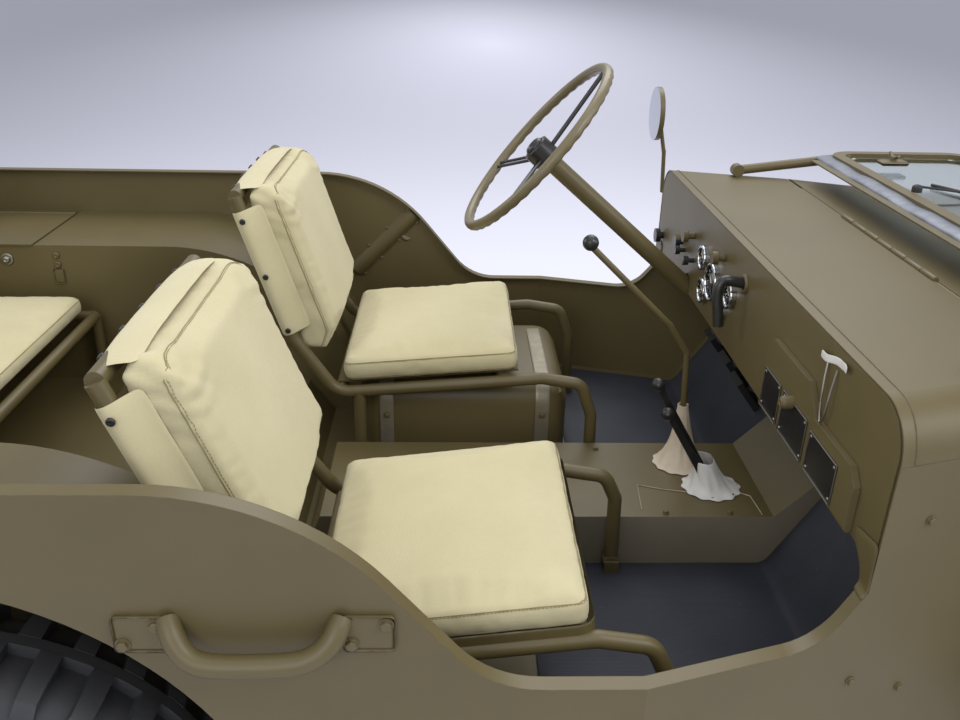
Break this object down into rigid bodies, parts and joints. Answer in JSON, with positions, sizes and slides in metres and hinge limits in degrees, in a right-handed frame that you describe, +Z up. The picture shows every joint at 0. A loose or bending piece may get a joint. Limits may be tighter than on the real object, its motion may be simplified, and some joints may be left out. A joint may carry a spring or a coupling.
{
  "type": "quarter-ton army 4x4 utility car",
  "caption": "Open-top army 4x4 car with steered front axle, rolling wheels, folding windscreen, hood, lidded tool boxes and canvas seats.",
  "frame": {"origin": "on the ground at the middle of the bounding box", "axes": "+X forward along the car, +Y to its left, +Z up"},
  "size_m": [3.36, 1.5566, 1.3254],
  "materials": {
    "paint": "satin",
    "tyre": "matte",
    "canvas": "woven",
    "glass": "clear",
    "lamp_glass": "clear",
    "engine_paint": "satin",
    "chassis_black": "satin",
    "black": "gloss"
  },
  "bodies": {
    "root": {"body_side_left": "paint", "body_side_right": "paint", "chassis_frame": "paint", "cowl": "paint", "dash": "paint", "driver_back": "canvas", "driver_cushion": "canvas", "driver_seat_frame": "paint", "engine_block": "engine_paint", "exhaust": "chassis_black", "fender_left": "paint", "fender_right": "paint", "floor": "paint", "front_axle": "chassis_black", "front_bumper": "paint", "fuel_tank": "paint", "gear_levers": "black", "gearbox": "engine_paint", "grab_handles": "paint", "grille": "paint", "headlamps": "lamp_glass", "instruments": "black", "jerry_can": "paint", "leaf_springs": "chassis_black", "mirror": "paint", "pedals": "black", "prop_shafts": "chassis_black", "radiator": "paint", "rear_axle": "chassis_black", "rear_cushion": "canvas", "rear_fittings": "paint", "rear_panel": "paint", "rear_seat_frame": "paint", "seat_brackets": "paint", "spare_tyre": "tyre", "spare_wheel": "paint", "steering_column": "paint", "wheelhouses": "paint"},
    "knuckle_left": {"knuckle_left": "paint"},
    "knuckle_right": {"knuckle_right": "paint"},
    "tie_rod": {"tie_rod": "chassis_black"},
    "wheel_front_left": {"tyre_front_left": "tyre", "wheel_front_left": "paint"},
    "wheel_front_right": {"tyre_front_right": "tyre", "wheel_front_right": "paint"},
    "wheel_rear_left": {"tyre_rear_left": "tyre", "wheel_rear_left": "paint"},
    "wheel_rear_right": {"tyre_rear_right": "tyre", "wheel_rear_right": "paint"},
    "steering_wheel": {"steering_wheel": "black"},
    "hood": {"hood": "paint"},
    "windscreen": {"windscreen_frame": "paint", "windscreen_glass": "glass"},
    "glove_door": {"glove_door": "paint"},
    "toolbox_lid_left": {"toolbox_lid_left": "paint"},
    "toolbox_lid_right": {"toolbox_lid_right": "paint"},
    "passenger_seat": {"passenger_seat_frame": "paint", "passenger_cushion": "canvas", "passenger_back": "canvas"},
    "rear_seat_back": {"rear_back": "canvas"}
  },
  "joints": [
    {"name": "steer_left", "type": "hinge", "parent": "root", "child": "knuckle_left", "pos_m": [1.14, 0.552, 0.362], "axis": [0, 0, 1], "range_deg": [-26, 26]},
    {"name": "steer_right", "type": "hinge", "parent": "root", "child": "knuckle_right", "pos_m": [1.14, -0.552, 0.362], "axis": [0, 0, 1], "range_deg": [-26, 26]},
    {"name": "tie_rod_pivot", "type": "hinge", "parent": "knuckle_left", "child": "tie_rod", "pos_m": [1.3, 0.552, 0.387], "axis": [0, 0, 1], "range_deg": [-26, 26]},
    {"name": "steering_wheel_turn", "type": "hinge", "parent": "root", "child": "steering_wheel", "pos_m": [-0.069, 0.337, 1.157], "axis": [-0.7581, 0, 0.6521], "range_deg": [-364, 364]},
    {"name": "windscreen_fold", "type": "hinge", "parent": "root", "child": "windscreen", "pos_m": [0.43, 0, 1.0693], "axis": [0, -1, 0], "range_deg": [0, 97]},
    {"name": "hood_lift", "type": "hinge", "parent": "root", "child": "hood", "pos_m": [0.547, 0, 1.052], "axis": [0, -1, 0], "range_deg": [0, 67.9]},
    {"name": "glove_door_drop", "type": "hinge", "parent": "root", "child": "glove_door", "pos_m": [0.27985, -0.397, 0.85], "axis": [0, -1, 0], "range_deg": [0, 88]},
    {"name": "toolbox_lid_left_lift", "type": "hinge", "parent": "root", "child": "toolbox_lid_left", "pos_m": [-1.31, 0.6937, 0.9013], "axis": [-1, 0, 0], "range_deg": [0, 85]},
    {"name": "toolbox_lid_right_lift", "type": "hinge", "parent": "root", "child": "toolbox_lid_right", "pos_m": [-1.31, -0.6937, 0.9013], "axis": [1, 0, 0], "range_deg": [0, 85]},
    {"name": "passenger_seat_tip", "type": "hinge", "parent": "root", "child": "passenger_seat", "pos_m": [0.058, -0.402, 0.502], "axis": [0, 1, 0], "range_deg": [0, 42]},
    {"name": "rear_seat_back_fold", "type": "hinge", "parent": "root", "child": "rear_seat_back", "pos_m": [-1.4317, 0, 0.824], "axis": [0, 1, 0], "range_deg": [0, 88]},
    {"name": "wheel_front_left_roll", "type": "hinge", "parent": "knuckle_left", "child": "wheel_front_left", "pos_m": [1.14, 0.6225, 0.362], "axis": [0, 1, 0], "continuous": true},
    {"name": "wheel_front_right_roll", "type": "hinge", "parent": "knuckle_right", "child": "wheel_front_right", "pos_m": [1.14, -0.6225, 0.362], "axis": [0, 1, 0], "continuous": true},
    {"name": "wheel_rear_left_roll", "type": "hinge", "parent": "root", "child": "wheel_rear_left", "pos_m": [-0.892, 0.6225, 0.362], "axis": [0, 1, 0], "continuous": true},
    {"name": "wheel_rear_right_roll", "type": "hinge", "parent": "root", "child": "wheel_rear_right", "pos_m": [-0.892, -0.6225, 0.362], "axis": [0, 1, 0], "continuous": true}
  ],
  "couplings": [
    {"joint": "steer_right", "follows": "steer_left", "ratio": 1},
    {"joint": "tie_rod_pivot", "follows": "steer_left", "ratio": -1},
    {"joint": "steering_wheel_turn", "follows": "steer_left", "ratio": 14},
    {"joint": "hood_lift", "follows": "windscreen_fold", "ratio": 0.7}
  ]
}
